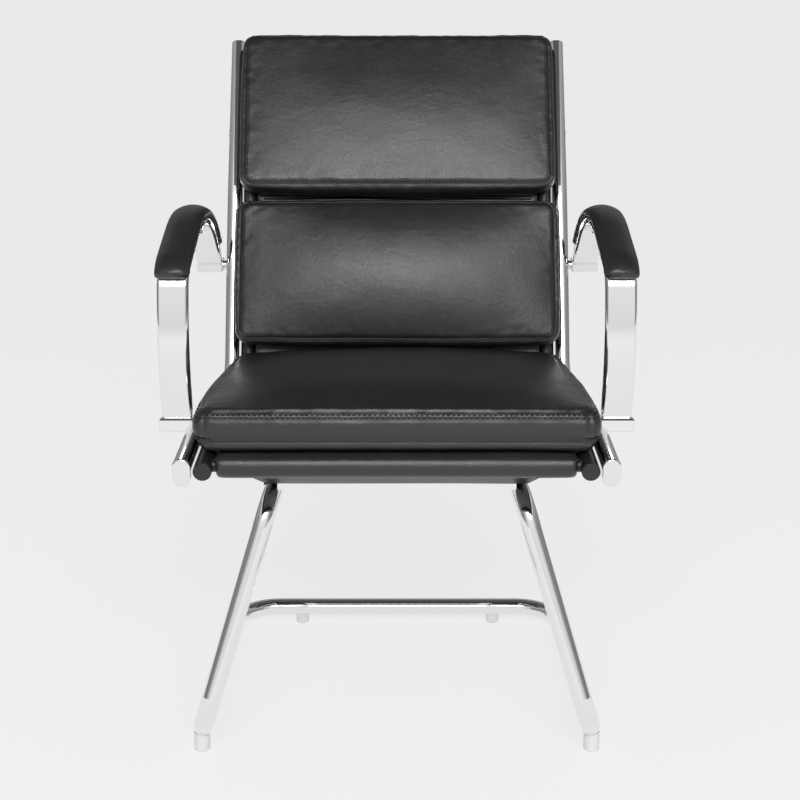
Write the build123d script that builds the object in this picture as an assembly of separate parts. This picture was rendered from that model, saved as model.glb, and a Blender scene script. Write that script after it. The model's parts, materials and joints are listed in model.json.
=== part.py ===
from build123d import *
import os
from math import cos, pi, radians, sin, sqrt

# Visitor chair on a bent tube base, with chromed side rails, a sling, three pads and two loop arms.
# The model is drawn with Y = 0 in the plane of the front feet, -Y towards the viewer, +Z up,
# and is moved at the end so that its origin is under the middle of the whole chair.

# Base tube
tube_diameter = 25.0
tube_wall = 2.0
foot_half_width = 247.0
runner_length = 442.0
mount_half_width = 158.0
mount_front_station = 8.0
mount_bar_length = 275.0
mount_depth = 64.0
top_bend_radius = 45.0
foot_bend_radius = 48.0
rear_bend_radius = 62.0

# Glides and plugs of the base
glide_height = 12.0
glide_diameter = 20.0
glide_stem_diameter = 8.0
glide_stem_length = 7.0
front_glide_setback = 34.0
rear_glide_half_spacing = 150.0
plug_rim = 3.0
plug_spigot_length = 14.0
plug_clearance = 0.15

# Cross bars of the base and the bolts through them
cross_bar_width = 40.0
cross_bar_thickness = 8.0
cross_bar_overlap = 6.5
front_cross_bar_station = 44.0
rear_cross_bar_station = 225.0
bolt_half_spacing = 76.0
bolt_diameter = 6.0
bolt_head_diameter = 12.0
bolt_head_height = 3.5
bolt_hole_clearance = 0.4

# The line that the side rails and the frame tubes follow, seen from the side
front_bend_y = 60.0
front_bend_z = 400.0
front_run = 101.0
front_droop = 8.1
seat_run = 354.4
seat_tilt = 2.6
lower_back_run = 303.0
lower_back_recline = 17.0
upper_back_run = 241.0
upper_back_recline = 21.0
front_bend_radius = 250.0
seat_corner_radius = 50.0
back_bend_radius = 200.0

# Side rails and their end caps
rail_width = 22.0
rail_depth = 36.0
rail_wall = 2.0
rail_half_spacing = 251.0
cap_thickness = 6.0
cap_edge_round = 2.5
cap_spigot_length = 12.0

# Frame tubes beside the rails
frame_tube_diameter = 22.0
frame_tube_wall = 1.5
rail_to_tube_gap = 2.0

# Flat bars and the front tube that tie the two frame tubes together
tie_bar_width = 40.0
tie_bar_thickness = 6.0
tie_bar_shoulder = 27.0
tie_bar_slope_run = 34.0
tie_bar_bend_radius = 12.0
back_bar_width = 30.0
lower_back_bar_station = 150.0
upper_back_bar_station = 205.0
front_tube_diameter = 16.0
front_tube_wall = 1.5
front_tube_station = 18.0

# Sling, front roll and covers
sling_thickness = 12.0
sling_side_clearance = 0.4
sling_top_setback = 9.0
roll_diameter = 27.0
roll_end_round = 11.0
roll_side_clearance = 0.6
soft_clearance = 0.3
cover_thickness = 3.0
back_cover_station = 302.0
under_cover_front = -66.0
under_cover_rear = 300.0
under_cover_front_slope = 81.0
under_cover_rear_slope = 45.0
under_cover_side_slope = 52.0
under_cover_front_drop = 15.5
under_cover_rear_drop = 11.5
under_cover_rim_overlap = 3.0

# Pads
seat_pad_overhang = 3.5
seat_pad_front = -80.0
seat_pad_rear = 326.0
seat_pad_crown = 16.0
seat_pad_swell = 6.0
seat_pad_droop = 11.0
seat_pad_rear_lift = 12.0
seat_pad_side_bulge = 12.0
lower_pad_overhang = 3.0
lower_pad_bottom = 65.0
lower_pad_top = 280.0
upper_pad_overhang = 0.5
upper_pad_bottom = -5.0
upper_pad_top = 240.0
back_pad_crown = 11.0
back_pad_swell = 2.0
back_pad_side_bulge = 5.0
pad_edge_thickness = 44.0
pad_end_crown = 1.0
pad_corner_radius = 16.0
pad_end_draw = 4.0
pad_droop_length = 80.0
pad_droop_top_share = 0.5
pad_lift_length = 170.0
pad_lift_side_share = 0.35
pad_middle_steps = 8

# Loop arms
arm_width = 40.0
arm_thickness = 14.0
arm_edge_round = 4.5
arm_spacer_length = 5.0
arm_spacer_diameter = 14.0
arm_front_station = 89.0
arm_rear_station = 190.0
arm_bow_forward = 25.0
arm_bow_rise = 112.0
arm_shoulder_forward = 11.0
arm_shoulder_rise = 199.0
arm_crest_back = 171.0
arm_crest_rise = 280.0
arm_bow_radius = 290.0
arm_shoulder_radius = 35.0
arm_crest_radius = 186.0
arm_foot_width = 43.0
arm_foot_depth = 27.0
arm_foot_height = 18.0
arm_heel_depth = 28.0
arm_heel_height = 20.0
arm_block_chamfer = 2.0

# Arm pads and the arm's fasteners
arm_pad_width = 46.0
arm_pad_thickness = 16.0
arm_pad_edge_thickness = 8.0
arm_pad_end_length = 5.0
arm_pad_end_draw = 5.0
arm_pad_front_station = 196.0
arm_pad_rear_gap = 50.0
pad_screw_inset = 70.0
pad_screw_diameter = 4.0
pad_screw_head_diameter = 8.0
pad_screw_head_height = 2.2
pad_screw_depth = 8.0
arm_bolt_head_diameter = 10.0
arm_bolt_head_height = 6.0
arm_bolt_recess_depth = 9.0
arm_bolt_recess_clearance = 0.5
arm_cap_thickness = 2.0
rail_bolt_station = 97.0
rail_bolt_head_diameter = 10.0
rail_bolt_head_height = 1.6
washer_diameter = 12.0

X_AXIS = Vector(1, 0, 0)

# Points and planes worked out from the sizes above
tilt = radians(seat_tilt)
droop = radians(front_droop)
lower_recline = radians(lower_back_recline)
upper_recline = radians(upper_back_recline)
front_bend = Vector(0, front_bend_y, front_bend_z)
seat_direction = Vector(0, cos(tilt), -sin(tilt))
lower_direction = Vector(0, sin(lower_recline), cos(lower_recline))
upper_direction = Vector(0, sin(upper_recline), cos(upper_recline))
front_direction = Vector(0, cos(droop), sin(droop))
seat_corner = front_bend + seat_direction * seat_run
back_bend = seat_corner + lower_direction * lower_back_run
seat_plane = Plane(origin=front_bend, x_dir=X_AXIS, z_dir=(0, sin(tilt), cos(tilt)))
lower_plane = Plane(origin=seat_corner, x_dir=X_AXIS, z_dir=(0, -cos(lower_recline), sin(lower_recline)))
upper_plane = Plane(origin=back_bend, x_dir=X_AXIS, z_dir=(0, -cos(upper_recline), sin(upper_recline)))

rail_outer = rail_half_spacing + rail_width / 2
rail_inner = rail_half_spacing - rail_width / 2
frame_tube_radius = frame_tube_diameter / 2
frame_tube_half_spacing = rail_inner - rail_to_tube_gap - frame_tube_radius
tube_radius = tube_diameter / 2
runner_z = glide_height + tube_radius
bolt_hole_diameter = bolt_diameter + bolt_hole_clearance


def frame_line(x, start_cut=0.0, end_cut=0.0):
    """The side line of the frame at one X, shortened at its front and top ends."""
    start = front_bend - front_direction * (front_run - start_cut)
    end = back_bend + upper_direction * (upper_back_run - end_cut)
    points = [start, front_bend, seat_corner, back_bend, end]
    radii = [front_bend_radius, seat_corner_radius, back_bend_radius]
    return FilletPolyline(*[point + X_AXIS * x for point in points], radius=radii)


def start_plane(path):
    """The plane across a path's start, with its Y along the frame's inner side."""
    return Plane(origin=path @ 0, x_dir=X_AXIS, z_dir=(path % 0) * -1)


def end_plane(path):
    """The plane across a path's end, facing outwards along the path."""
    return Plane(origin=path @ 1, x_dir=X_AXIS, z_dir=path % 1)


def swept(face, path):
    """A face carried along each line and bend of a side line in turn, joined to one bar."""
    runs = []
    for edge in path.edges():
        place = Plane(origin=edge @ 0, x_dir=X_AXIS, z_dir=edge % 0)
        runs.append(sweep(place * face, path=edge))
    return runs[0] + runs[1:]


def both_sides(shape):
    """A piece on the right and its mirror image on the left, as two separate solids."""
    return Compound(children=[shape, mirror(shape, about=Plane.YZ)])


def cross_rod(diameter, x_from, x_to, centre):
    """A rod along X between two values of X, at a point of the side view."""
    rod = Cylinder(diameter / 2, x_to - x_from)
    middle = Vector((x_from + x_to) / 2, centre.Y, centre.Z)
    return Location(middle) * Rotation(0, 90, 0) * rod


# Base tube

mount_z = -mount_depth - tube_radius
mount_start = seat_plane.from_local_coords(Vector(mount_half_width, mount_front_station, mount_z))
mount_end = seat_plane.from_local_coords(
    Vector(mount_half_width, mount_front_station + mount_bar_length, mount_z))
right_corners = [
    Vector(foot_half_width, runner_length, runner_z),
    Vector(foot_half_width, 0, runner_z),
    mount_start,
    mount_end,
]
left_corners = [Vector(-corner.X, corner.Y, corner.Z) for corner in reversed(right_corners)]
base_radii = [top_bend_radius, foot_bend_radius, rear_bend_radius]
base_path = FilletPolyline(*left_corners, *right_corners, radius=base_radii + base_radii[::-1])
base_start = Plane(origin=base_path @ 0, z_dir=base_path % 0)
base_rod = sweep(base_start * Circle(tube_radius), path=base_path)
base_bore = sweep(base_start * Circle(tube_radius - tube_wall), path=base_path)


def glide(x, y):
    """A floor glide with a stem: its top is cut to the tube that it sits under."""
    puck = Cylinder(glide_diameter / 2, runner_z, align=(Align.CENTER, Align.CENTER, Align.MIN))
    stem_height = glide_height + glide_stem_length
    stem = Cylinder(glide_stem_diameter / 2, stem_height, align=(Align.CENTER, Align.CENTER, Align.MIN))
    foot_edge = puck.edges().sort_by(Axis.Z)[0]
    puck = chamfer(foot_edge, glide_height / 8)
    place = Location((x, y, 0))
    return (place * puck - base_rod) + place * stem


def glide_hole(x, y):
    """The hole that a glide's stem goes into, through the tube's lower wall."""
    hole_diameter = glide_stem_diameter + 2 * plug_clearance
    hole = Cylinder(hole_diameter / 2, runner_z, align=(Align.CENTER, Align.CENTER, Align.MIN))
    return Location((x, y, 0)) * hole


glide_spots = {
    "front_glides": (foot_half_width, front_glide_setback),
    "rear_glides": (rear_glide_half_spacing, runner_length),
}
glides = {name: both_sides(glide(*spot)) for name, spot in glide_spots.items()}
base_tube = base_rod - base_bore
for spot in glide_spots.values():
    base_tube -= both_sides(glide_hole(*spot))


def round_plug(place, rim_diameter, bore_diameter):
    """A plug that closes a round tube: its rim lies outside the plane of the tube's end."""
    rim = Cylinder(rim_diameter / 2, plug_rim, align=(Align.CENTER, Align.CENTER, Align.MIN))
    rim = chamfer(rim.edges().sort_by(Axis.Z)[-1], plug_rim / 3)
    spigot_radius = bore_diameter / 2 - plug_clearance
    spigot = Cylinder(spigot_radius, plug_spigot_length, align=(Align.CENTER, Align.CENTER, Align.MAX))
    return place * (rim + spigot)


base_end_plugs = both_sides(
    round_plug(end_plane(base_path), tube_diameter, tube_diameter - 2 * tube_wall))

# Cross bars, welded between the upper bars of the base

bar_top = -mount_depth
bar_bottom = bar_top - cross_bar_thickness
skin_top = bar_top + cover_thickness
tie_top = skin_top + tie_bar_thickness


def bolt_spots(station):
    """The places of the two bolts of one cross bar, in the seat's plane."""
    return [(side * bolt_half_spacing, station) for side in (-1, 1)]


def bolt_holes(station):
    """Upright holes for the two bolts of one cross bar."""
    reach = tie_top - bar_bottom + bolt_head_height
    hole = Cylinder(bolt_hole_diameter / 2, 2 * reach)
    return [seat_plane * Location((x, y, (bar_bottom + tie_top) / 2)) * hole for x, y in bolt_spots(station)]


def cross_bar(station):
    """A flat bar between the two upper bars, its ends cut to the tubes that they are welded to."""
    length = 2 * (mount_half_width - cross_bar_overlap)
    bar = Box(length, cross_bar_width, cross_bar_thickness)
    bar = seat_plane * Location((0, station, (bar_top + bar_bottom) / 2)) * bar
    return bar - base_rod - bolt_holes(station)


def base_bolt(x, y):
    """A round-headed bolt from below, through the cross bar and the cover into the tie bar."""
    head = Cylinder(bolt_head_diameter / 2, bolt_head_height, align=(Align.CENTER, Align.CENTER, Align.MAX))
    head = chamfer(head.edges().sort_by(Axis.Z)[0], bolt_head_height / 2)
    shank_length = tie_top - bar_bottom
    shank = Cylinder(bolt_diameter / 2, shank_length, align=(Align.CENTER, Align.CENTER, Align.MIN))
    return seat_plane * Location((x, y, bar_bottom)) * (head + shank)


cross_bar_stations = [front_cross_bar_station, rear_cross_bar_station]
front_cross_bar, rear_cross_bar = [cross_bar(station) for station in cross_bar_stations]
base_bolts = Compound(children=[
    base_bolt(*spot) for station in cross_bar_stations for spot in bolt_spots(station)])

# Side rails and frame tubes

rail_line = frame_line(rail_half_spacing)
rail_start = start_plane(rail_line)
rail_face = SlotOverall(rail_depth, rail_width, rotation=90)
rail_bore_face = SlotOverall(rail_depth - 2 * rail_wall, rail_width - 2 * rail_wall, rotation=90)
rail_body = swept(rail_face, rail_line)
rail_bore = swept(rail_bore_face, rail_line)

frame_tube_line = frame_line(frame_tube_half_spacing)
frame_tube_start = start_plane(frame_tube_line)
frame_rod = swept(Circle(frame_tube_radius), frame_tube_line)
frame_bore = swept(Circle(frame_tube_radius - frame_tube_wall), frame_tube_line)
frame_rods = both_sides(frame_rod)

arm_inner = rail_outer + arm_spacer_length
arm_foot = seat_plane.from_local_coords(Vector(0, arm_front_station, 0))
arm_heel = lower_plane.from_local_coords(Vector(0, arm_rear_station, 0))
rail_bolt_spot = upper_plane.from_local_coords(Vector(0, rail_bolt_station, 0))
bolt_tip = frame_tube_half_spacing + frame_tube_radius - 2 * frame_tube_wall
rail_spots = [arm_foot, arm_heel, rail_bolt_spot]
arm_outer = arm_inner + max(arm_width, arm_foot_width)
side_holes = [cross_rod(bolt_hole_diameter, bolt_tip - frame_tube_wall, arm_outer, spot) for spot in rail_spots]

right_side_rail = rail_body - rail_bore - side_holes
right_frame_tube = frame_rod - frame_bore - side_holes


def rail_cap(place):
    """A cap that closes a rail: a rounded rim of the rail's outline and a spigot in its bore."""
    rim = extrude(rail_face, cap_thickness)
    rim = fillet(rim.faces().sort_by(Axis.Z)[-1].edges(), cap_edge_round)
    spigot_depth = rail_depth - 2 * rail_wall - 2 * plug_clearance
    spigot_width = rail_width - 2 * rail_wall - 2 * plug_clearance
    spigot = extrude(SlotOverall(spigot_depth, spigot_width, rotation=90), -cap_spigot_length)
    return place * (rim + spigot)


rail_front_caps = both_sides(rail_cap(rail_start))
rail_top_caps = both_sides(rail_cap(end_plane(rail_line)))
frame_bore_diameter = frame_tube_diameter - 2 * frame_tube_wall
frame_tube_front_plugs = both_sides(round_plug(frame_tube_start, frame_tube_diameter, frame_bore_diameter))
frame_tube_top_plugs = both_sides(
    round_plug(end_plane(frame_tube_line), frame_tube_diameter, frame_bore_diameter))


def rail_washer(spot):
    """A washer between rail and frame tube, hollowed on one side to the round tube."""
    washer = cross_rod(washer_diameter, frame_tube_half_spacing, rail_inner, spot)
    return washer - frame_rod - cross_rod(bolt_hole_diameter, frame_tube_half_spacing, rail_inner, spot)


rail_washers = Compound(children=[both_sides(rail_washer(spot)) for spot in rail_spots])


def rail_bolt(spot):
    """A round-headed bolt through the rail's outer side into the frame tube."""
    head_end = rail_outer + rail_bolt_head_height
    head = cross_rod(rail_bolt_head_diameter, rail_outer, head_end, spot)
    head = chamfer(head.edges().sort_by(Axis.X)[-1], rail_bolt_head_height / 2)
    return head + cross_rod(bolt_diameter, bolt_tip, rail_outer, spot)


rail_bolts = both_sides(rail_bolt(rail_bolt_spot))

# Bars that tie the frame tubes together

tie_reach = frame_tube_half_spacing - frame_tube_radius / 2
tie_level = -tie_bar_thickness / 2
tie_low_level = skin_top + tie_bar_thickness / 2


def tie_bar(station):
    """A bowed flat bar that carries the seat on a cross bar, its ends cut to the frame tubes."""
    shoulder_x = tie_reach - tie_bar_shoulder
    low_x = shoulder_x - tie_bar_slope_run
    right = [(low_x, tie_low_level), (shoulder_x, tie_level), (tie_reach, tie_level)]
    left = [(-x, z) for x, z in reversed(right)]
    across = Plane(origin=(0, 0, 0), x_dir=X_AXIS, z_dir=(0, -1, 0))
    path = across * FilletPolyline(*left, *right, radius=tie_bar_bend_radius)
    section = Plane(origin=path @ 0, x_dir=(0, 1, 0), z_dir=path % 0)
    bar = sweep(section * Rectangle(tie_bar_width, tie_bar_thickness), path=path)
    return seat_plane * Location((0, station, 0)) * bar - frame_rods - bolt_holes(station)


def back_bar(plane, station):
    """A flat bar behind the sling of the back, its ends cut to the frame tubes."""
    bar = Box(2 * tie_reach, back_bar_width, tie_bar_thickness)
    return plane * Location((0, station, tie_level)) * bar - frame_rods


front_tie_bar, rear_tie_bar = [tie_bar(station) for station in cross_bar_stations]
lower_back_bar = back_bar(lower_plane, lower_back_bar_station)
upper_back_bar = back_bar(upper_plane, upper_back_bar_station)

roll_centre = front_bend - front_direction * (front_run - front_tube_station)
front_tube_rod = cross_rod(front_tube_diameter, -tie_reach, tie_reach, roll_centre)
front_tube_bore = cross_rod(front_tube_diameter - 2 * front_tube_wall, -tie_reach, tie_reach, roll_centre)
front_cross_tube = front_tube_rod - front_tube_bore - frame_rods

# Sling, front roll and covers

inner_half_width = frame_tube_half_spacing - frame_tube_radius - sling_side_clearance
roll_half_width = inner_half_width - roll_side_clearance
roll_radius = roll_diameter / 2
roll = Cylinder(roll_radius, 2 * roll_half_width)
roll = fillet(roll.edges(), roll_end_round)
roll -= Cylinder(front_tube_diameter / 2 + soft_clearance, 2 * roll_half_width)
front_roll = Location(roll_centre) * Rotation(0, 90, 0) * roll


def panel(path, thickness, level):
    """A flat panel between the frame tubes that follows a side line, with its middle at one level."""
    section = start_plane(path) * Location((0, level, 0)) * Rectangle(2 * inner_half_width, thickness)
    return sweep(section, path=path)


sling_line = frame_line(0, front_tube_station + roll_radius + soft_clearance, sling_top_setback)
sling = panel(sling_line, sling_thickness, sling_thickness / 2)
back_cover_line = FilletPolyline(
    seat_plane.from_local_coords(Vector(0, back_cover_station, 0)),
    seat_corner,
    back_bend,
    sling_line @ 1,
    radius=[seat_corner_radius, back_bend_radius],
)
back_cover = panel(back_cover_line, cover_thickness, -tie_bar_thickness - cover_thickness / 2)


def wall_at(foot, rim, rim_drop, level, inset):
    """Where a sloping wall of the under cover is at one level, moved in along its normal."""
    height = mount_depth - rim_drop
    run = rim - foot
    lean = sqrt(run**2 + height**2) / height
    inward = 1 if foot > rim else -1
    return foot + run * (level + mount_depth) / height + inward * inset * lean


def cover_block(inset, front_drop, rear_drop):
    """The under cover's outer form, or its inner form where it is inset, between floor and rim."""
    floor = -mount_depth + inset
    front_foot = under_cover_front + under_cover_front_slope
    rear_foot = under_cover_rear - under_cover_rear_slope
    rim_half_width = inner_half_width + under_cover_rim_overlap
    side_foot = rim_half_width - under_cover_side_slope

    def front(level):
        return wall_at(front_foot, under_cover_front, under_cover_front_drop, level, inset)

    def rear(level):
        return wall_at(rear_foot, under_cover_rear, under_cover_rear_drop, level, inset)

    def side(level):
        return wall_at(side_foot, rim_half_width, under_cover_rear_drop, level, inset)

    length = Polyline(
        (front(floor), floor), (rear(floor), floor), (rear(-rear_drop), -rear_drop),
        (front(-front_drop), -front_drop), close=True)
    across = Polyline(
        (side(floor), floor), (side(0), 0), (-side(0), 0), (-side(floor), floor), close=True)
    reach = under_cover_rear - under_cover_front
    lengthwise = extrude(Plane.YZ * make_face(length), 2 * rim_half_width, both=True)
    crosswise = extrude(Plane.XZ * make_face(across), 2 * reach, both=True)
    return lengthwise & crosswise


under_cover = cover_block(0, under_cover_front_drop, under_cover_rear_drop) - cover_block(cover_thickness, 0, 0)
under_cover = seat_plane * under_cover - [hole for station in cross_bar_stations for hole in bolt_holes(station)]

# Pads


def pad_section(y, half_width, bulge, low, edge, crown):
    """One cross-section of a pad: flat below, bulging at its sides and crowned on top."""
    foot = half_width - bulge
    middle = (low + edge) / 2
    outline = [
        Line((-foot, low), (foot, low)),
        ThreePointArc((foot, low), (half_width, middle), (foot, edge)),
        ThreePointArc((foot, edge), (0, crown), (-foot, edge)),
        ThreePointArc((-foot, edge), (-half_width, middle), (-foot, low)),
    ]
    return Plane(origin=(0, y, 0), x_dir=X_AXIS, z_dir=(0, -1, 0)) * make_face(outline)


def pad(plane, start, end, overhang, crown, swell, bulge, droop=0.0, lift=0.0):
    """A pad on the sling: its sides reach over the rails, its ends are drawn in, its top is crowned both ways."""
    length = end - start
    corner = [(pad_corner_radius * (1 - cos(angle)), 1 - sin(angle)) for angle in (0, pi / 6, pi / 3, pi / 2)]
    middle = [(length * index / pad_middle_steps, 0) for index in range(1, pad_middle_steps)]
    stations = corner + middle + [(length - y, drawn) for y, drawn in reversed(corner)]
    sections = []
    for y, drawn in stations:
        swelling = 1 - (2 * y / length - 1) ** 2
        level = -droop * max(0, 1 - y / pad_droop_length) ** 2
        risen = lift * max(0, 1 - (length - y) / pad_lift_length) ** 2
        edge = level * pad_droop_top_share + risen * pad_lift_side_share + pad_edge_thickness - pad_end_draw * drawn
        top = edge + risen * (1 - pad_lift_side_share) + pad_end_crown + (crown - pad_end_crown) * swelling
        half_width = rail_inner + overhang + swell * swelling - pad_corner_radius * drawn
        low = level + pad_end_draw * drawn
        sections.append(pad_section(start + y, half_width, bulge, low, edge, top))
    return plane * Location((0, 0, sling_thickness + soft_clearance)) * loft(sections, ruled=True)


seat_pad = pad(
    seat_plane, seat_pad_front, seat_pad_rear, seat_pad_overhang,
    seat_pad_crown, seat_pad_swell, seat_pad_side_bulge, seat_pad_droop, seat_pad_rear_lift)
lower_back_pad = pad(
    lower_plane, lower_pad_bottom, lower_pad_top, lower_pad_overhang,
    back_pad_crown, back_pad_swell, back_pad_side_bulge)
upper_back_pad = pad(
    upper_plane, upper_pad_bottom, upper_pad_top, upper_pad_overhang,
    back_pad_crown, back_pad_swell, back_pad_side_bulge)

# Loop arms

arm_x = arm_inner + arm_width / 2
arm_foot_point = Vector(arm_x, arm_foot.Y, arm_foot.Z)
arm_heel_point = Vector(arm_x, arm_heel.Y, arm_heel.Z)
arm_line = FilletPolyline(
    arm_foot_point,
    arm_foot_point + Vector(0, -arm_bow_forward, arm_bow_rise),
    arm_foot_point + Vector(0, -arm_shoulder_forward, arm_shoulder_rise),
    arm_foot_point + Vector(0, arm_crest_back, arm_crest_rise),
    arm_heel_point,
    radius=[arm_bow_radius, arm_shoulder_radius, arm_crest_radius],
)


def arm_plane(station):
    """The plane across the arm at a length along its line, with its Y towards the arm's inside."""
    origin = arm_line.position_at(station, position_mode=PositionMode.LENGTH)
    along = arm_line.tangent_at(station, position_mode=PositionMode.LENGTH)
    return Plane(origin=origin, x_dir=X_AXIS, z_dir=along)


def arm_block(spot, width, depth, height):
    """The block at one end of the arm that is bolted to the rail."""
    block = Box(width, depth, height)
    block = chamfer(block.edges(), arm_block_chamfer)
    return Location((arm_inner + width / 2, spot.Y, spot.Z)) * block


def arm_bolt_recess(spot, outer, depth):
    """The round recess in an arm block's outer side."""
    diameter = arm_bolt_head_diameter + 2 * arm_bolt_recess_clearance
    return cross_rod(diameter, outer - depth, outer, spot)


arm_ends = [(arm_foot, arm_inner + arm_foot_width), (arm_heel, arm_inner + arm_width)]
arm_bar = sweep(arm_plane(0) * RectangleRounded(arm_width, arm_thickness, arm_edge_round), path=arm_line)
arm_pad_rear_station = arm_line.length - arm_pad_rear_gap
screw_stations = [arm_pad_front_station + pad_screw_inset, arm_pad_rear_station - pad_screw_inset]


def pad_screw_rod(station, clearance):
    """The straight part of a screw that holds the arm pad, from inside the arm outwards."""
    length = plug_clearance + arm_thickness + soft_clearance + pad_screw_depth
    rod = Cylinder(pad_screw_diameter / 2 + clearance, length, align=(Align.CENTER, Align.CENTER, Align.MIN))
    seat = arm_thickness / 2 + plug_clearance
    return arm_plane(station) * Location((0, seat, 0)) * Rotation(90, 0, 0) * rod


def pad_screw(station):
    """A round-headed screw through the arm into its pad."""
    align = (Align.CENTER, Align.CENTER, Align.MAX)
    head = Cylinder(pad_screw_head_diameter / 2, pad_screw_head_height, align=align)
    head = chamfer(head.edges().sort_by(Axis.Z)[0], pad_screw_head_height / 2)
    seat = arm_thickness / 2 + plug_clearance
    head = arm_plane(station) * Location((0, seat, 0)) * Rotation(90, 0, 0) * head
    return head + pad_screw_rod(station, 0)


right_arm_frame = arm_bar + [
    arm_block(arm_foot, arm_foot_width, arm_foot_depth, arm_foot_height),
    arm_block(arm_heel, arm_width, arm_heel_depth, arm_heel_height),
]
right_arm_frame -= side_holes
right_arm_frame -= [arm_bolt_recess(spot, outer, arm_bolt_recess_depth) for spot, outer in arm_ends]
right_arm_frame -= [pad_screw_rod(station, bolt_hole_clearance / 2) for station in screw_stations]


def arm_pad_section(plane, draw=0.0):
    """The arm pad's cross-section: flat on the bar, with low sides and a crowned top, drawn in or not."""
    half_width = arm_pad_width / 2 - draw
    base = -arm_thickness / 2 - soft_clearance
    edge = base - arm_pad_edge_thickness + draw
    crown = base - arm_pad_thickness + draw
    return plane * make_face([
        Line((-half_width, base), (half_width, base)),
        Line((half_width, base), (half_width, edge)),
        ThreePointArc((half_width, edge), (0, crown), (-half_width, edge)),
        Line((-half_width, edge), (-half_width, base)),
    ])


def arm_pad_nose(plane, outward):
    """The rounded end of an arm pad, outside the plane of its full cross-section."""
    sections = []
    for angle in (0, pi / 6, pi / 3, pi / 2):
        place = plane.offset(outward * arm_pad_end_length * sin(angle))
        sections.append(arm_pad_section(place, arm_pad_end_draw * (1 - cos(angle))))
    return loft(sections, ruled=True)


arm_pad_line = arm_line.trim(
    arm_pad_front_station / arm_line.length, arm_pad_rear_station / arm_line.length)
arm_pad_front_plane = arm_plane(arm_pad_front_station)
right_arm_pad = sweep(arm_pad_section(arm_pad_front_plane), path=arm_pad_line) + [
    arm_pad_nose(arm_pad_front_plane, -1),
    arm_pad_nose(arm_plane(arm_pad_rear_station), 1),
]
right_arm_pad -= [pad_screw_rod(station, plug_clearance) for station in screw_stations]
arm_pad_screws = [both_sides(pad_screw(station)) for station in screw_stations]


def arm_spacer(spot):
    """A short sleeve between the rail and the arm."""
    sleeve = cross_rod(arm_spacer_diameter, rail_outer, arm_inner, spot)
    return sleeve - cross_rod(bolt_hole_diameter, rail_outer, arm_inner, spot)


def arm_bolt(spot, outer):
    """A bolt from the outside, through the arm, spacer, rail and washer into the frame tube."""
    seat = outer - arm_bolt_recess_depth
    head = cross_rod(arm_bolt_head_diameter, seat, seat + arm_bolt_head_height, spot)
    return head + cross_rod(bolt_diameter, bolt_tip, seat, spot)


arm_spacers = [both_sides(arm_spacer(spot)) for spot, outer in arm_ends]
arm_bolts = [both_sides(arm_bolt(spot, outer)) for spot, outer in arm_ends]
arm_bolt_caps = [both_sides(arm_bolt_recess(spot, outer, arm_cap_thickness)) for spot, outer in arm_ends]

# All pieces, by name

pieces = {
    "base_tube": base_tube,
    "front_cross_bar": front_cross_bar,
    "rear_cross_bar": rear_cross_bar,
    "base_end_plugs": base_end_plugs,
    **glides,
    "base_bolts": base_bolts,
    "frame_tube_front_plugs": frame_tube_front_plugs,
    "frame_tube_top_plugs": frame_tube_top_plugs,
    "rail_front_caps": rail_front_caps,
    "rail_top_caps": rail_top_caps,
    "rail_washers": rail_washers,
    "rail_bolts": rail_bolts,
    "front_cross_tube": front_cross_tube,
    "front_roll": front_roll,
    "front_tie_bar": front_tie_bar,
    "rear_tie_bar": rear_tie_bar,
    "lower_back_bar": lower_back_bar,
    "upper_back_bar": upper_back_bar,
    "sling": sling,
    "back_cover": back_cover,
    "under_cover": under_cover,
    "seat_pad": seat_pad,
    "lower_back_pad": lower_back_pad,
    "upper_back_pad": upper_back_pad,
    "arm_pad_screws": Compound(children=arm_pad_screws),
    "arm_spacers": Compound(children=arm_spacers),
    "arm_bolts": Compound(children=arm_bolts),
    "arm_bolt_caps": Compound(children=arm_bolt_caps),
}
right_pieces = {
    "side_rail": right_side_rail,
    "frame_tube": right_frame_tube,
    "arm_frame": right_arm_frame,
    "arm_pad": right_arm_pad,
}
for name, shape in right_pieces.items():
    pieces["right_" + name] = shape
    pieces["left_" + name] = mirror(shape, about=Plane.YZ)

solids = {name: shape.solids() for name, shape in pieces.items()}
box = Compound([solid for group in solids.values() for solid in group]).bounding_box()
to_origin = Location((-box.center().X, -box.center().Y, -box.min.Z))
os.makedirs("parts", exist_ok=True)
for name, group in solids.items():
    export_step(to_origin * Compound(group), f"parts/{name}.step")
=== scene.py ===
import json
from math import ceil, cos, exp, hypot, pi, radians, sin

import bpy
from mathutils import Matrix, Vector, noise
from mathutils.bvhtree import BVHTree
from mathutils.kdtree import KDTree


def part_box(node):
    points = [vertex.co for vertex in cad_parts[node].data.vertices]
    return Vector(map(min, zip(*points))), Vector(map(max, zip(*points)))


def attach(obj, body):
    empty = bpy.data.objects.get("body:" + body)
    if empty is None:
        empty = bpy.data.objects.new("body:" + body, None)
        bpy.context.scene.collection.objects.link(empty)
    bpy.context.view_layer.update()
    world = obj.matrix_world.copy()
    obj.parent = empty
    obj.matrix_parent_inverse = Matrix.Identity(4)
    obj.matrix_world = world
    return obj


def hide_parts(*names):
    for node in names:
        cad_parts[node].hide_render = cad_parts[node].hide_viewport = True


# The visitor chair dressed in black leather and chrome, in metres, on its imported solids.

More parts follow.
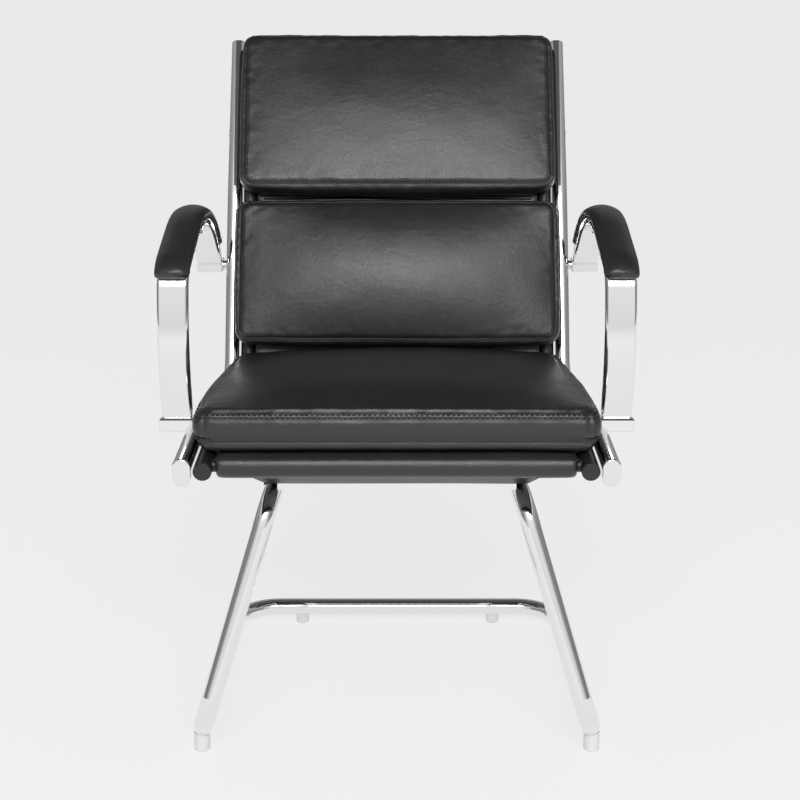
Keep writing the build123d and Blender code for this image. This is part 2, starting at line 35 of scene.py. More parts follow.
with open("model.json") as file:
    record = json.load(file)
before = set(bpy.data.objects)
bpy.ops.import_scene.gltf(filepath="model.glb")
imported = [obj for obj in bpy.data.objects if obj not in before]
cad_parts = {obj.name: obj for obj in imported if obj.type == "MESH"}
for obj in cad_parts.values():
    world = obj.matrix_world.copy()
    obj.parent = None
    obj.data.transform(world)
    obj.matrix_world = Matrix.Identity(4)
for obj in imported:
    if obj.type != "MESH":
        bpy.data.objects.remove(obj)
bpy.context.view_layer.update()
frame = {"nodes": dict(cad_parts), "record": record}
cad_nodes = frame["nodes"]
scene = bpy.context.scene

# Sizes that the solids have too
front_glide_setback = 0.034
front_bend_setback = 0.060
front_bend_height = 0.400
seat_run = 0.3544
lower_back_run = 0.303
seat_tilt = radians(2.6)
lower_recline = radians(17.0)
upper_recline = radians(21.0)
rail_inner = 0.240
mount_depth = 0.064
inner_half_width = 0.2156
tie_bar_thickness = 0.006
cover_thickness = 0.003

glide_low, glide_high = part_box("front_glides")
feet_line = (glide_low.y + glide_high.y) / 2 - front_glide_setback

# Places on the frame's side line
front_bend = Vector((0, feet_line + front_bend_setback, front_bend_height))
seat_direction = Vector((0, cos(seat_tilt), -sin(seat_tilt)))
lower_direction = Vector((0, sin(lower_recline), cos(lower_recline)))
upper_direction = Vector((0, sin(upper_recline), cos(upper_recline)))
seat_corner = front_bend + seat_direction * seat_run
back_bend = seat_corner + lower_direction * lower_back_run


def line_frame(origin, along):
    """A frame on the side line: X across, Y along the line and Z towards the sitter."""
    across = Vector((1, 0, 0))
    matrix = Matrix((across, along, across.cross(along))).transposed().to_4x4()
    matrix.translation = origin
    return matrix


seat_frame = line_frame(front_bend, seat_direction)
lower_frame = line_frame(seat_corner, lower_direction)
upper_frame = line_frame(back_bend, upper_direction)


# Shaders


class Shade:
    """A shader socket that Python's operators work on; each one adds its Math node."""

    def __init__(self, tree, socket=None):
        self.tree = tree
        self.socket = socket

    def node(self, kind, inputs, settings=None, output=0):
        """Adds a node, with its settings first and then its inputs' values or links."""
        made = self.tree.nodes.new(kind)
        for key, value in (settings or {}).items():
            setattr(made, key, value)
        for key, value in inputs.items():
            if isinstance(value, Shade):
                self.tree.links.new(value.socket, made.inputs[key])
            else:
                made.inputs[key].default_value = value
        return Shade(self.tree, made.outputs[output])

    def noise(self, place, scale, detail, distortion=0.0):
        """Adds a noise texture at a place and gives its value."""
        return self.node("ShaderNodeTexNoise", {
            "Vector": place,
            "Scale": scale,
            "Detail": detail,
            "Distortion": distortion,
        }, output="Fac")

    def mix(self, factor, first, second):
        """Adds a blend of two colours."""
        return self.node(
            "ShaderNodeMix", {"Factor": factor, "A": (*first, 1), "B": (*second, 1)},
            {"data_type": "RGBA"}, "Result")

    def seen(self):
        """Gives 1 to rays from the camera, reflections and clear pieces, and 0 to light on a surface."""
        camera_ray = self.node("ShaderNodeLightPath", {}, output="Is Camera Ray")
        glossy_ray = self.node("ShaderNodeLightPath", {}, output="Is Glossy Ray")
        clear_ray = self.node("ShaderNodeLightPath", {}, output="Is Transmission Ray")
        return (camera_ray + glossy_ray + clear_ray).at_most(1.0)

    def math(self, operation, first, second):
        return self.node("ShaderNodeMath", {0: first, 1: second}, {"operation": operation})

    def __add__(self, other):
        return self.math("ADD", self, other)

    __radd__ = __add__

    def __mul__(self, other):
        return self.math("MULTIPLY", self, other)

    __rmul__ = __mul__

    def __sub__(self, other):
        return self.math("SUBTRACT", self, other)

    def __rsub__(self, other):
        return self.math("SUBTRACT", other, self)

    def at_most(self, other):
        return self.math("MINIMUM", self, other)

    def at_least(self, other):
        return self.math("MAXIMUM", self, other)


def new_material(name):
    """A material with an empty node tree, and a shade to add its nodes with."""
    material = bpy.data.materials.new(name)
    material.use_nodes = True
    material.node_tree.nodes.clear()
    return material, Shade(material.node_tree)


def close_material(shade, surface):
    """Links a shader to the material's output."""
    output = shade.tree.nodes.new("ShaderNodeOutputMaterial")
    shade.tree.links.new(surface.socket, output.inputs["Surface"])


def leather(name, dark, light, roughness, grain_size, grain_depth):
    """Black leather: fine cells with pores, cloudy tone and a sheen that varies slowly."""
    material, shade = new_material(name)
    place = shade.node("ShaderNodeTexCoord", {}, output="Object")
    cells = shade.node(
        "ShaderNodeTexVoronoi", {"Vector": place, "Scale": 1 / grain_size},
        {"feature": "DISTANCE_TO_EDGE"}, "Distance")
    pores = shade.noise(place, scale=2.2 / grain_size, detail=3.0)
    cloud = shade.noise(place, scale=14.0, detail=4.0)
    creases = shade.noise(place, scale=150.0, detail=4.0)
    drawn_out = shade.node("ShaderNodeMapping", {"Vector": place, "Scale": (0.5, 1.0, 1.0)})
    wrinkles = shade.noise(drawn_out, scale=42.0, detail=4.0, distortion=0.8)
    colour = shade.mix(cloud, dark, light)
    relief = cells.at_most(0.25) * 1.2 + pores * 0.3 + creases * 1.2 + wrinkles * 1.8
    bump = shade.node("ShaderNodeBump", {"Height": relief, "Strength": 0.45, "Distance": grain_depth})
    skin = shade.node("ShaderNodeBsdfPrincipled", {
        "Base Color": colour,
        "Roughness": cloud * 0.12 + (roughness - 0.06),
        "Normal": bump,
        "IOR": 1.6,
    })
    close_material(shade, skin)
    return material


def chrome(name, tone, roughness):
    """Chrome plate: a mirror with a slow ripple in its polish and faint wiping marks."""
    material, shade = new_material(name)
    place = shade.node("ShaderNodeTexCoord", {}, output="Object")
    wiping = shade.noise(place, scale=45.0, detail=6.0)
    ripple = shade.noise(place, scale=30.0, detail=1.0)
    bump = shade.node("ShaderNodeBump", {"Height": ripple, "Strength": 0.12, "Distance": 0.0008})
    plate = shade.node("ShaderNodeBsdfPrincipled", {
        "Base Color": (tone, tone, tone * 1.005, 1),
        "Metallic": 1.0,
        "Roughness": wiping * 0.05 + roughness,
        "Normal": bump,
    })
    close_material(shade, plate)
    return material


def moulded(name, colour, roughness, depth):
    """Moulded plastic or powder coat: a fine eggshell texture under one colour."""
    material, shade = new_material(name)
    place = shade.node("ShaderNodeTexCoord", {}, output="Object")
    texture = shade.noise(place, scale=1600.0, detail=2.0)
    tint = shade.noise(place, scale=25.0, detail=3.0)
    darker = [channel * 0.86 for channel in colour]
    tone = shade.mix(tint, darker, colour)
    bump = shade.node("ShaderNodeBump", {"Height": texture, "Strength": 0.25, "Distance": depth})
    skin = shade.node("ShaderNodeBsdfPrincipled", {
        "Base Color": tone,
        "Roughness": tint * 0.1 + (roughness - 0.05),
        "Normal": bump,
    })
    close_material(shade, skin)
    return material


seat_leather = leather(
    "black_leather", dark=(0.011, 0.011, 0.011), light=(0.02, 0.02, 0.02),
    roughness=0.33, grain_size=0.0016, grain_depth=0.0005)
arm_leather = leather(
    "arm_pad_black", dark=(0.012, 0.012, 0.012), light=(0.02, 0.02, 0.02),
    roughness=0.34, grain_size=0.0012, grain_depth=0.0003)
tube_chrome = chrome("chrome", tone=0.86, roughness=0.03)
arm_chrome = chrome("arm_chrome", tone=0.86, roughness=0.035)
zinc = chrome("bright_steel", tone=0.72, roughness=0.22)
eggshell_depth = 0.0001
thread = moulded("stitching_thread", (0.004, 0.004, 0.004), roughness=0.95, depth=eggshell_depth)
black_coat = moulded("black_steel", (0.014, 0.014, 0.014), roughness=0.42, depth=eggshell_depth)
black_plastic = moulded("black_plastic", (0.018, 0.018, 0.018), roughness=0.45, depth=eggshell_depth)
silver_plastic = moulded("grey_plastic", (0.62, 0.62, 0.63), roughness=0.3, depth=eggshell_depth)
white_plastic = moulded("white_plastic", (0.86, 0.86, 0.85), roughness=0.4, depth=eggshell_depth)

slot_materials = {
    "chrome": tube_chrome,
    "arm_chrome": arm_chrome,
    "bright_steel": zinc,
    "black_steel": black_coat,
    "black_plastic": black_plastic,
    "grey_plastic": silver_plastic,
    "white_plastic": white_plastic,
    "black_leather": seat_leather,
    "arm_pad_black": arm_leather,
}
for subpart in frame["record"]["subparts"]:
    mesh = cad_nodes[subpart["node"]].data
    mesh.materials.clear()
    mesh.materials.append(slot_materials[subpart["material_slot"]])


# Tools for the soft pieces


def only(piece):
    """Makes one object the active and only selected one."""
    bpy.ops.object.select_all(action="DESELECT")
    piece.select_set(True)
    bpy.context.view_layer.objects.active = piece


def apply_modifier(piece, kind, **settings):
    """Adds one modifier with its settings and applies it."""
    modifier = piece.modifiers.new(kind.title(), kind)
    for key, value in settings.items():
        setattr(modifier, key, value)
    only(piece)
    bpy.ops.object.modifier_apply(modifier=modifier.name)


def new_piece(name, mesh, material):
    """A new object of the chair, with its material."""
    piece = bpy.data.objects.new(name, mesh)
    scene.collection.objects.link(piece)
    mesh.materials.clear()
    mesh.materials.append(material)
    return piece


def soft_copy(node, name, material, voxel):
    """A soft solid's copy as one closed skin of small even faces."""
    piece = new_piece(name, cad_nodes[node].data.copy(), material)
    only(piece)
    bpy.ops.object.mode_set(mode="EDIT")
    bpy.ops.mesh.select_all(action="SELECT")
    bpy.ops.mesh.remove_doubles(threshold=0.00001)
    bpy.ops.object.mode_set(mode="OBJECT")
    apply_modifier(piece, "REMESH", mode="VOXEL", voxel_size=voxel)
    return piece


def push(piece, amount):
    """Moves each point along its normal by what a function of its place gives."""
    mesh = piece.data
    normals = [vertex.normal.copy() for vertex in mesh.vertices]
    for vertex, normal in zip(mesh.vertices, normals):
        vertex.co += normal * amount(vertex.co, normal)
    mesh.update()


puff_frames = 20


def puff(piece, held, pressure, cap):
    """Blows a pad up as cloth with its held points fixed, each point moving no further than the cap."""
    start = [vertex.co.copy() for vertex in piece.data.vertices]
    group = piece.vertex_groups.new(name="held")
    group.add([vertex.index for vertex in piece.data.vertices if held(vertex.co)], 1.0, "REPLACE")
    cloth = piece.modifiers.new("Cloth", "CLOTH")
    cloth.settings.quality = 5
    cloth.settings.mass = 0.3
    cloth.settings.vertex_group_mass = group.name
    cloth.settings.use_pressure = True
    cloth.settings.uniform_pressure_force = pressure
    cloth.settings.effector_weights.gravity = 0
    for step in range(1, puff_frames + 1):
        scene.frame_set(step)
    only(piece)
    bpy.ops.object.modifier_apply(modifier=cloth.name)
    scene.frame_set(1)
    piece.vertex_groups.clear()
    for vertex, place in zip(piece.data.vertices, start):
        move = vertex.co - place
        if move.length > cap:
            vertex.co = place + move * (cap / move.length)
    piece.data.update()


def smooth(piece):
    """Shades a piece smoothly."""
    only(piece)
    bpy.ops.object.shade_smooth()


def rounded_outline(half_width, start, end, radius, step):
    """Points round a rectangle with rounded corners, about one step apart, as (x, y)."""
    corners = [
        (half_width - radius, start + radius, -pi / 2),
        (half_width - radius, end - radius, 0),
        (-half_width + radius, end - radius, pi / 2),
        (-half_width + radius, start + radius, pi),
    ]
    points = []
    turns = ceil(radius * pi / 2 / step)
    for index, (x, y, angle) in enumerate(corners):
        arc = [angle + pi / 2 * turn / turns for turn in range(turns + 1)]
        points += [(x + radius * cos(a), y + radius * sin(a)) for a in arc]
        last = Vector(points[-1])
        next_x, next_y, next_angle = corners[(index + 1) % 4]
        target = Vector((next_x + radius * cos(next_angle), next_y + radius * sin(next_angle)))
        count = max(1, ceil((target - last).length / step))
        points += [tuple(last.lerp(target, part / count)) for part in range(1, count)]
    return points


def surface_of(piece):
    """A search tree of a piece's faces."""
    return BVHTree.FromObject(piece, bpy.context.evaluated_depsgraph_get())


def laid_on(surface, points):
    """Points moved to the nearest place on a surface, with the normal there."""
    laid = []
    for point in points:
        place, normal, index, distance = surface.find_nearest(point)
        laid.append((place, normal))
    return laid


def distance_to(points):
    """A function that gives how far a place is from a line of points."""
    tree = KDTree(len(points))
    for index, point in enumerate(points):
        tree.insert(point, index)
    tree.balance()
    return lambda place: tree.find(place)[2]


def crease(piece, points, depth, width):
    """Draws a piece in along a sewn line."""
    from_line = distance_to(points)
    push(piece, lambda place, normal: -depth * exp(-(from_line(place) / width) ** 2))


def stitches(name, laid, length, gap, radius):
    """A row of thread stitches along points that lie on a surface."""
    only_points = [place for place, normal in laid]
    bpy.ops.object.select_all(action="DESELECT")
    bpy.ops.mesh.primitive_uv_sphere_add(segments=6, ring_count=4, radius=1.0)
    model = bpy.context.object
    shape = [vertex.co.copy() for vertex in model.data.vertices]
    faces = [tuple(face.vertices) for face in model.data.polygons]
    bpy.data.objects.remove(model)
    vertices = []
    polygons = []
    travelled = 0.0
    due = gap
    for index in range(1, len(only_points)):
        here = only_points[index - 1]
        step = only_points[index] - here
        if step.length == 0:
            continue
        while due <= travelled + step.length:
            middle = here + step * ((due - travelled) / step.length)
            along = step.normalized()
            up = laid[index][1]
            side = along.cross(up).normalized()
            up = side.cross(along)
            offset = len(vertices)
            vertices += [
                middle + along * (point.x * length / 2)
                + side * (point.y * radius) + up * (point.z * radius)
                for point in shape]
            polygons += [tuple(offset + corner for corner in face) for face in faces]
            due += length + gap
        travelled += step.length
    mesh = bpy.data.meshes.new(name)
    mesh.from_pydata(vertices, [], polygons)
    piece = new_piece(name, mesh, thread)
    smooth(piece)
    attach(piece, "root")


def welt(name, laid, radius, closed=True):
    """A thin sewn edge: a round cord of leather along points that lie on a surface."""
    curve = bpy.data.curves.new(name, "CURVE")
    curve.dimensions = "3D"
    spline = curve.splines.new("POLY")
    spline.points.add(len(laid) - 1)
    for target, (place, normal) in zip(spline.points, laid):
        target.co = (*(place + normal * radius * 0.7), 1)
    spline.use_cyclic_u = closed
    curve.use_fill_caps = not closed
    curve.bevel_depth = radius
    curve.bevel_resolution = 2
    source = bpy.data.objects.new(name + "_line", curve)
    scene.collection.objects.link(source)
    mesh = bpy.data.meshes.new_from_object(source.evaluated_get(bpy.context.evaluated_depsgraph_get()))
    bpy.data.objects.remove(source)
    piece = new_piece(name, mesh, seat_leather)
    smooth(piece)
    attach(piece, "root")


# Pads

pad_base = 0.0123
pad_thickness = 0.044
pad_voxel = 0.005
seam_corner_radius = 0.016
seam_step = 0.003
seam_hold = 0.006
piping_radius = 0.0009
cushion_pressure = 4.0
seat_start, seat_end = -0.080, 0.326
lower_start, lower_end = 0.068, 0.277
upper_start, upper_end = -0.002, 0.237
panel_share = 0.6
seat_droop, seat_droop_length = 0.0055, 0.080
seat_side_lift, seat_lift_length = 0.0042, 0.170


def back_edge(y):
    """The level of a back pad's front edge over the side line."""
    return pad_base + pad_thickness


def seat_edge(y):
    """The level of the seat pad's top edge, which droops at the front and rises at the rear."""
    sunk = seat_droop * max(0.0, 1 - (y - seat_start) / seat_droop_length) ** 2
    risen = seat_side_lift * max(0.0, 1 - (seat_end - y) / seat_lift_length) ** 2
    return pad_base + pad_thickness - sunk + risen


def pad_cover(node, name, place, outline, edge, fullness, spread, hang, cap):
    """A leather pad: the solid's form, blown up as cloth between its seams, then puckered along them."""
    piece = soft_copy(node, name, seat_leather, pad_voxel)
    to_pad = place.inverted()
    facing = place.to_3x3() @ Vector((0, 0, 1))
    along_pad = place.to_3x3() @ Vector((0, 1, 0))
    edge_line = [place @ Vector((x, y, edge(y))) for x, y in outline]
    from_seam = distance_to([point for point, normal in laid_on(surface_of(piece), edge_line)])

    def held(point):
        return from_seam(point) < seam_hold or (to_pad @ point).z < pad_base + seam_hold

    half_width = max(x for x, y in outline)
    low = min(y for x, y in outline)
    high = max(y for x, y in outline)

    def fuller_panel(point, normal):
        local = to_pad @ point
        across = min(1.0, abs(local.x) / half_width)
        along = min(1.0, abs(2 * (local.y - low) / (high - low) - 1))
        filled = (1 - across ** spread) * (1 - along ** 2)
        depth = min(1.0, abs(2 * (local.z - pad_base) / pad_thickness - 1))
        on_underside = normal.dot(along_pad) < -panel_share
        hanging = hang * (1 - across ** 6) * (1 - depth ** 2) if on_underside else 0.0
        return fullness * filled if normal.dot(facing) > panel_share else hanging

    push(piece, fuller_panel)
    puff(piece, held, cushion_pressure, cap)
    apply_modifier(piece, "SUBSURF", levels=1, render_levels=1)
    seam = [point for point, normal in laid_on(surface_of(piece), edge_line)]
    from_seam = distance_to(seam)

    def leather_life(point, normal):
        far = from_seam(point)
        slow = noise.noise(point * 8.0) * 0.0012 + noise.noise(point * 24.0) * 0.0004
        pucker = noise.noise(point * 70.0) * 0.0008 * exp(-(far / 0.02) ** 2)
        return slow + pucker

    push(piece, leather_life)
    crease(piece, seam, depth=0.0022, width=0.0032)
    smooth(piece)
    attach(piece, "root")
    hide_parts(node)
    return piece


lower_overhang, upper_overhang, seat_overhang = 0.003, 0.0005, 0.0035
back_seam_inset, seat_seam_inset = 0.007, 0.012
lower_half_width = rail_inner + lower_overhang - back_seam_inset
upper_half_width = rail_inner + upper_overhang - back_seam_inset
seat_half_width = rail_inner + seat_overhang - seat_seam_inset
lower_outline = rounded_outline(lower_half_width, lower_start, lower_end, seam_corner_radius, seam_step)
upper_outline = rounded_outline(upper_half_width, upper_start, upper_end, seam_corner_radius, seam_step)
seat_outline = rounded_outline(seat_half_width, seat_start, seat_end, seam_corner_radius, seam_step)
seat_cushion = pad_cover(
    "seat_pad", "seat_cushion", seat_frame, seat_outline, seat_edge,
    fullness=-0.003, spread=4, hang=0.0, cap=0.005)
lower_cushion = pad_cover(
    "lower_back_pad", "lower_back_cushion", lower_frame, lower_outline, back_edge,
    fullness=0.013, spread=2, hang=0.007, cap=0.005)
upper_cushion = pad_cover(
    "upper_back_pad", "upper_back_cushion", upper_frame, upper_outline, back_edge,
    fullness=-0.003, spread=4, hang=0.0085, cap=0.004)


def back_piping(name, piece, place, outline):
    """The raised sewn edge round a back pad's front panel."""
    edge_line = [place @ Vector((x, y, back_edge(y))) for x, y in outline]
    welt(name + "_piping", laid_on(surface_of(piece), edge_line), piping_radius)


def back_stitching(name, piece, place, outline, inset):
    """A stitched row on a back pad's front panel, one inset inside its sewn edge."""
    half_width = max(x for x, y in outline) - inset
    low = min(y for x, y in outline) + inset
    high = max(y for x, y in outline) - inset
    inner = rounded_outline(half_width, low, high, seam_corner_radius - inset / 2, seam_step)
    row = [place @ Vector((x, y, back_edge(y) + inset)) for x, y in inner]
    stitches(name + "_stitching", laid_on(surface_of(piece), row), length=0.0036, gap=0.002, radius=0.0006)


back_piping("lower_back", lower_cushion, lower_frame, lower_outline)
back_piping("upper_back", upper_cushion, upper_frame, upper_outline)
back_stitching("lower_back", lower_cushion, lower_frame, lower_outline, inset=0.006)
back_stitching("upper_back", upper_cushion, upper_frame, upper_outline, inset=0.006)

# The seat's boxing: two stitched lines under its top edge, a sewn edge below and upright corner seams
boxing_reach = 0.012
boxing_outline = rounded_outline(
    seat_half_width + boxing_reach, seat_start - 0.004, seat_end, radius=0.024, step=0.002)
lip_drop, lip_height, lip_reach = 0.005, 0.008, 0.03


def front_lip(point):
    """How far the seat's front edge hangs under its lower seam."""
    local = seat_frame.inverted() @ point
    low = exp(-((local.z - pad_base + 2 * seat_droop) / lip_height) ** 2) if local.z > 0 else 1.0
    return lip_drop * low * exp(-((local.y - seat_start) / lip_reach) ** 2)


to_lip = seat_frame.to_3x3() @ Vector((0, -0.2, -1))
for vertex in seat_cushion.data.vertices:
    vertex.co += to_lip * front_lip(vertex.co)
seat_cushion.data.update()


def boxing_line(drop):
    """A line round the seat's boxing, one drop under its top edge, laid on the leather."""
    line = [seat_frame @ Vector((x, y, seat_edge(y) - drop)) for x, y in boxing_outline]
    return laid_on(surface_of(seat_cushion), line)


for name, drop in {"seat_top_stitching": 0.002, "seat_boxing_stitching": 0.0105}.items():
    crease(seat_cushion, [place for place, normal in boxing_line(drop)], depth=0.0013, width=0.0026)
    stitches(name, boxing_line(drop), length=0.004, gap=0.0022, radius=0.0008)
low_drop = 0.037
crease(seat_cushion, [place for place, normal in boxing_line(low_drop)], depth=0.0016, width=0.003)
welt("seat_low_piping", boxing_line(low_drop), piping_radius)
boxing_corner = seat_half_width - 0.002
for side in (-1, 1):
    upright = []
    for part in range(15):
        level = seat_edge(seat_start) - low_drop * part / 14
        upright.append(seat_frame @ Vector((side * boxing_corner, seat_start - 0.006, level)))
    laid = laid_on(surface_of(seat_cushion), upright)
    crease(seat_cushion, [place for place, normal in laid], depth=0.0014, width=0.0028)


# Sling, roll and arm pads


def covered(node, name, material, voxel, fullness, ripple, rounds=1):
    """A padded leather piece that keeps its solid's form, with a slow ripple in its skin."""
    piece = soft_copy(node, name, material, voxel)
    if rounds:
        apply_modifier(piece, "SUBSURF", levels=rounds, render_levels=rounds)
    push(piece, lambda point, normal: noise.noise(point * 24.0) * ripple + fullness)
    smooth(piece)
    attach(piece, "root")
    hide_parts(node)
    return piece


covered(
    "sling", "sling_cover", seat_leather,
    voxel=0.005, fullness=-0.0005, ripple=0.0005, rounds=0)
front_roll_cover = covered(
    "front_roll", "front_roll_cover", seat_leather,
    voxel=0.004, fullness=0.0016, ripple=0.0003)
# The roll's leather is drawn out to the frame tubes, over the ends of the cross tube
roll_reach = 1.0085
for vertex in front_roll_cover.data.vertices:
    vertex.co.x *= roll_reach
front_roll_cover.data.update()
for hand in ("left", "right"):
    covered(
        hand + "_arm_pad", hand + "_arm_cushion", arm_leather,
        voxel=0.004, fullness=0.0, ripple=0.0002)


fold_half_width, fold_wander, fold_parts = 0.206, 0.0022, 40


def sling_fold(name, place, y, level, radius, seed):
    """A soft fold of the sling's leather that lies across the gap between the back pads."""
    points = []
    for part in range(fold_parts + 1):
        x = -fold_half_width + 2 * fold_half_width * part / fold_parts
        wander = noise.noise(Vector((x * 7, seed, 0))) * fold_wander
        points.append(place @ Vector((x, y + wander, level + wander)))
    laid = [(point, Vector((0, 0, 0))) for point in points]
    welt(name, laid, radius, closed=False)


sling_fold("sling_upper_fold", lower_frame, y=0.2985, level=0.0115, radius=0.0045, seed=3.0)
sling_fold("sling_lower_fold", lower_frame, y=0.2885, level=0.0095, radius=0.0045, seed=8.0)

# Covers

under_front, under_rear = -0.066, 0.300
under_front_slope, under_rear_slope, under_side_slope = 0.081, 0.045, 0.052
under_rim_drop, under_front_drop = 0.0115, 0.0155

# The under cover's sloping block: its floor and four sloping flaps
under_half_width = inner_half_width + 0.003


def corner_place(corner):
    """Moves a corner of a unit cube to the under cover's sloping block, on the seat's frame."""
    side = 1 if corner.x > 0 else -1
    low = corner.z < 0
    half_width = under_half_width - (under_side_slope if low else 0)
    if corner.y < 0:
        y = under_front + (under_front_slope if low else 0)
        z = -mount_depth if low else -under_front_drop
    else:
        y = under_rear - (under_rear_slope if low else 0)
        z = -mount_depth if low else -under_rim_drop
    return seat_frame @ Vector((side * half_width, y, z))


def under_skin():
    """The leather pan under the seat: sloping sides to a flat floor, with soft edges and a slack skin."""
    bpy.ops.object.select_all(action="DESELECT")
    bpy.ops.mesh.primitive_cube_add(size=1.0)
    piece = bpy.context.object
    piece.name = "under_skin"
    for vertex in piece.data.vertices:
        vertex.co = corner_place(vertex.co)
    top = max(piece.data.polygons, key=lambda face: face.center.z).index
    bpy.ops.object.mode_set(mode="EDIT")
    bpy.ops.mesh.select_all(action="DESELECT")
    bpy.ops.mesh.select_mode(type="FACE")
    bpy.ops.object.mode_set(mode="OBJECT")
    piece.data.polygons[top].select = True
    bpy.ops.object.mode_set(mode="EDIT")
    bpy.ops.mesh.delete(type="FACE")
    bpy.ops.mesh.select_all(action="SELECT")
    bpy.ops.mesh.bevel(offset=0.006, segments=3)
    bpy.ops.mesh.select_all(action="SELECT")
    bpy.ops.mesh.subdivide(number_cuts=22)
    bpy.ops.object.mode_set(mode="OBJECT")

    def slack(point, normal):
        return noise.noise(Vector((point.x * 9, point.y * 30, point.z * 30))) * 0.001 - 0.001

    push(piece, slack)
    apply_modifier(piece, "SOLIDIFY", thickness=cover_thickness, offset=-1.0)
    piece.data.materials.clear()
    piece.data.materials.append(seat_leather)
    smooth(piece)
    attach(piece, "root")
    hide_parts("under_cover")


under_skin()

seat_corner_radius, back_bend_radius = 0.050, 0.200
back_cover_station = 0.302
sling_top = 0.232
border_inset, border_rise, border_width = 0.014, 0.0012, 0.0045


def bent_line(points, radii, steps):
    """Points along a line in the side plane whose inner corners are rounded."""
    line = []
    for index, point in enumerate(points):
        if index in (0, len(points) - 1):
            line.append(point)
            continue
        before = (points[index - 1] - point).normalized()
        after = (points[index + 1] - point).normalized()
        half = before.angle(after) / 2
        radius = radii[index - 1]
        centre = point + (before + after).normalized() * (radius / sin(half))
        first = point + before * (radius / (sin(half) / cos(half)))
        last = point + after * (radius / (sin(half) / cos(half)))
        for step in range(steps + 1):
            chord = first.lerp(last, step / steps) - centre
            line.append(centre + chord.normalized() * radius)
    return line


def along_line(line, distance):
    """The place and direction at one distance along a line of points."""
    for start, end in zip(line, line[1:]):
        length = (end - start).length
        if distance <= length:
            return start.lerp(end, distance / length), (end - start).normalized()
        distance -= length
    return line[-1], (line[-1] - line[-2]).normalized()


back_start = seat_frame @ Vector((0, back_cover_station, 0))
back_top = upper_frame @ Vector((0, sling_top, 0))
back_line = bent_line(
    [back_start, seat_corner, back_bend, back_top], [seat_corner_radius, back_bend_radius], 12)
back_length = sum((end - start).length for start, end in zip(back_line, back_line[1:]))


def back_skin():
    """The leather panel behind the back, stretched between the frame tubes, with a sewn border."""
    bpy.ops.object.select_all(action="DESELECT")
    bpy.ops.mesh.primitive_grid_add(x_subdivisions=90, y_subdivisions=120, size=1.0)
    piece = bpy.context.object
    piece.name = "back_skin"
    for vertex in piece.data.vertices:
        x = vertex.co.x * 2 * inner_half_width
        distance = (vertex.co.y + 0.5) * back_length
        place, along = along_line(back_line, distance)
        facing = Vector((1, 0, 0)).cross(along)
        from_edge = min(inner_half_width - abs(x), distance, back_length - distance)
        sewn = border_rise * exp(-((from_edge - border_inset) / border_width) ** 2)
        slack = noise.noise(Vector((x * 7, distance * 12, 4.0))) * 0.0008
        level = -tie_bar_thickness - cover_thickness + max(0.0, sewn + slack + 0.0006)
        vertex.co = place + facing * level + Vector((x, 0, 0))
    apply_modifier(piece, "SOLIDIFY", thickness=cover_thickness - 0.001, offset=1.0)
    piece.data.materials.append(seat_leather)
    smooth(piece)
    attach(piece, "root")
    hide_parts("back_cover")
    return piece


back_panel = back_skin()

# A stitched row along the back panel's sewn border
border_row = []
border_outline = rounded_outline(
    inner_half_width - border_inset, border_inset, back_length - border_inset, radius=0.006, step=0.003)
for x, distance in border_outline:
    place, along = along_line(back_line, distance)
    behind = along.cross(Vector((1, 0, 0)))
    border_row.append(place + Vector((x, 0, 0)) + behind * (tie_bar_thickness + 2 * cover_thickness))
border_laid = laid_on(surface_of(back_panel), border_row)
stitches("back_panel_stitching", border_laid, length=0.004, gap=0.0022, radius=0.0007)

# Floor, light and camera

bpy.ops.object.select_all(action="DESELECT")
bpy.ops.mesh.primitive_plane_add(size=30.0)
floor = bpy.context.object
floor.name = "studio_floor"
floor_material, floor_shade = new_material("studio_floor_white")
floor_pale, floor_light, floor_paint = 0.72, 0.6, 0.2
floor_tone = floor_shade.seen() * (floor_pale - floor_light) + floor_light
glow = floor_shade.node("ShaderNodeEmission", {"Color": floor_tone, "Strength": 1.0})
paint = floor_shade.node("ShaderNodeBsdfDiffuse", {"Color": (floor_paint, floor_paint, floor_paint, 1)})
close_material(floor_shade, floor_shade.node("ShaderNodeAddShader", {0: glow, 1: paint}))
floor.data.materials.append(floor_material)

# A far ring of grey wall, paler in front, and a dark ceiling, which only reflections see
wall_radius, wall_height = 6.0, 5.4
wall_low_tone, wall_high_tone = 0.2, 0.42
wall_front_start, wall_front_run, wall_front_tone = 3.4, 2.2, 0.58
ceiling_tone = 0.1
bpy.ops.object.select_all(action="DESELECT")
bpy.ops.mesh.primitive_cylinder_add(
    vertices=96, radius=wall_radius, depth=wall_height, end_fill_type="NOTHING",
    location=(0, 0, wall_height / 2))
wall = bpy.context.object
wall.name = "studio_wall"
bpy.ops.object.transform_apply(location=True, rotation=True, scale=True)
bpy.ops.object.select_all(action="DESELECT")
bpy.ops.mesh.primitive_circle_add(
    vertices=96, radius=wall_radius, fill_type="NGON", location=(0, 0, wall_height))
ceiling = bpy.context.object
ceiling.name = "studio_ceiling"
bpy.ops.object.transform_apply(location=True, rotation=True, scale=True)
wall_material, wall_shade = new_material("studio_wall_grey")
wall_place = wall_shade.node("ShaderNodeTexCoord", {}, output="Object")
wall_level = wall_shade.node("ShaderNodeSeparateXYZ", {"Vector": wall_place}, output="Z")
wall_depth = wall_shade.node("ShaderNodeSeparateXYZ", {"Vector": wall_place}, output="Y")
in_front = ((wall_depth * -1.0 - wall_front_start) * (1 / wall_front_run)).at_most(1.0).at_least(0.0)
wall_rise = (wall_high_tone - wall_low_tone) / wall_height
wall_tone = wall_level * wall_rise + wall_low_tone + in_front * wall_front_tone
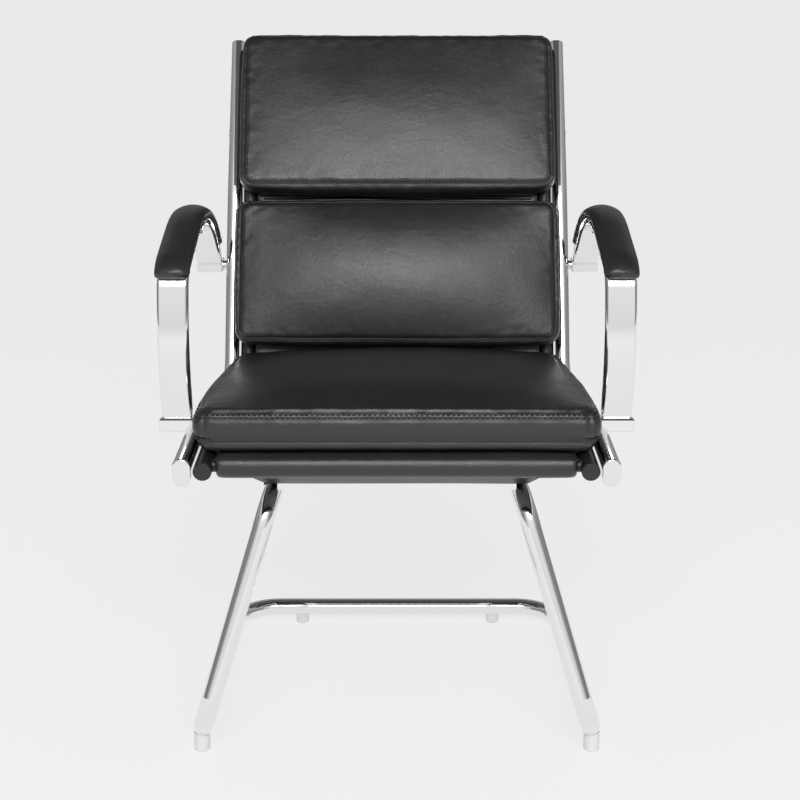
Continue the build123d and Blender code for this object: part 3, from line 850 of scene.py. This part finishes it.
wall_paint = wall_shade.node("ShaderNodeEmission", {"Color": wall_tone, "Strength": 1.0})
close_material(wall_shade, wall_paint)
wall.data.materials.append(wall_material)
ceiling_material, ceiling_shade = new_material("studio_ceiling_grey")
close_material(ceiling_shade, ceiling_shade.node("ShaderNodeEmission", {"Strength": ceiling_tone}))
ceiling.data.materials.append(ceiling_material)
for surround in (wall, ceiling):
    surround.visible_camera = False
    surround.visible_diffuse = False
    surround.visible_shadow = False

world = bpy.data.worlds.new("studio_white")
scene.world = world
world.use_nodes = True
world.node_tree.nodes.clear()
sky = Shade(world.node_tree)
backdrop_pale, backdrop_light = 0.82, 0.5
backdrop_tone = sky.seen() * (backdrop_pale - backdrop_light) + backdrop_light
backdrop = sky.node("ShaderNodeBackground", {"Color": backdrop_tone, "Strength": 1.0})
world_output = world.node_tree.nodes.new("ShaderNodeOutputWorld")
world.node_tree.links.new(backdrop.socket, world_output.inputs["Surface"])


def softbox(name, place, target, width, height, radiance):
    """A large lamp turned to a point, with its brightness as seen in a mirror."""
    lamp = bpy.data.lights.new(name, "AREA")
    lamp.shape = "RECTANGLE"
    lamp.size = width
    lamp.size_y = height
    lamp.energy = radiance * pi * width * height
    holder = bpy.data.objects.new(name, lamp)
    scene.collection.objects.link(holder)
    holder.location = place
    holder.rotation_euler = (Vector(target) - Vector(place)).to_track_quat("-Z", "Y").to_euler()


softbox("front_softbox", (0.12, -3.1, 2.22), (0, 0, 0.65), width=2.3, height=0.9, radiance=10.2)

# Camera
sensor_width = 36.0
frame_pixels = 800.0
focal_pixels = 1281.0
camera_height = 0.809
camera_distance = 1.488
camera_pitch = radians(8.84)
camera_data = bpy.data.cameras.new("photo_camera")
camera_data.sensor_width = sensor_width
camera_data.lens = sensor_width * focal_pixels / frame_pixels
camera_data.shift_y = -0.12
camera = bpy.data.objects.new("photo_camera", camera_data)
scene.collection.objects.link(camera)
camera.location = (0.004, feet_line - camera_distance, camera_height)
camera.rotation_euler = (pi / 2 - camera_pitch, 0, 0)
scene.camera = camera
scene.view_settings.view_transform = "Standard"
